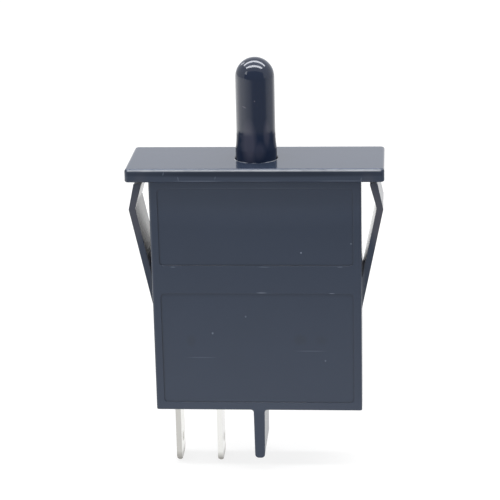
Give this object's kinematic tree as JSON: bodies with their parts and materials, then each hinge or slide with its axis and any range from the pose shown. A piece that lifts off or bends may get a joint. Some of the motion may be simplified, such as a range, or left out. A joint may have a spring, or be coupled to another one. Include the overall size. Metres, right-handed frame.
{
  "type": "plunger door switch",
  "caption": "Snap-in panel switch with a long round-tipped push pin in a wide flange, a flat case with sprung side arms, a fin and push-on tabs below.",
  "frame": {"origin": "centre of the flange's underside, on the plane that rests on the panel and on the push pin's axis", "axes": "+Z along the push pin, out of the panel; +Y from the front face with the sunk fields to the back cover; +X along the flange, away from the two tabs"},
  "size_m": [0.0372, 0.013, 0.062],
  "materials": {
    "housing": "satin blue-black moulding",
    "plunger": "polished blue-black",
    "spring_steel": "drawn wire",
    "tinned_brass": "tin plated",
    "bronze_strip": "rolled",
    "silver": "soft silver"
  },
  "bodies": {
    "case": {"housing": "housing", "back_cover": "housing", "terminal_common": "tinned_brass", "terminal_fixed": "tinned_brass", "fixed_contact": "silver", "return_spring": "spring_steel"},
    "push_pin": {"plunger": "plunger"},
    "leaf": {"contact_leaf": "bronze_strip", "moving_contact": "silver"}
  },
  "joints": [
    {"name": "plunger_slide", "type": "slide", "parent": "case", "child": "push_pin", "axis": [0, 0, -1], "range_m": [0, 0.009], "stiffness_N_per_m": 200, "springref_m": -0.006, "deforming": ["return_spring"]},
    {"name": "leaf_flex", "type": "hinge", "parent": "case", "child": "leaf", "pos_m": [-0.0121, 0, -0.0305], "axis": [0, -1, 0], "range_deg": [0, 4.95]}
  ],
  "couplings": [
    {"joint": "leaf_flex", "follows": "plunger_slide", "rad_per_m": 9.5345}
  ]
}
